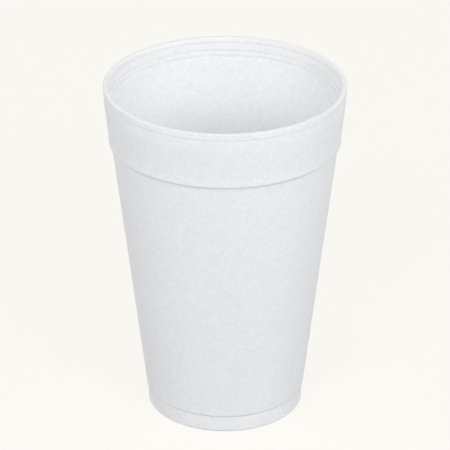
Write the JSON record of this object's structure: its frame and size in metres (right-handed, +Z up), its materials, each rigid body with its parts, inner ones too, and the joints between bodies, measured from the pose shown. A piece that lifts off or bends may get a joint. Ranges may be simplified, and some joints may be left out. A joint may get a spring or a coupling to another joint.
{
  "type": "foam cup",
  "caption": "Tapered disposable drinking cup moulded from white bead foam, with a thicker collar under a thin lip, a narrow stacking shoulder inside and a short foot band.",
  "frame": {"origin": "middle of the foot ring, on the surface that the cup stands on", "axes": "+Z up along the cup's own axis, from the foot to the open mouth"},
  "size_m": [0.095, 0.095, 0.1382],
  "materials": {
    "foam": "white expanded polystyrene, satin, with the fine pattern of fused beads"
  },
  "bodies": {
    "root": {"cup": "foam"}
  },
  "joints": []
}
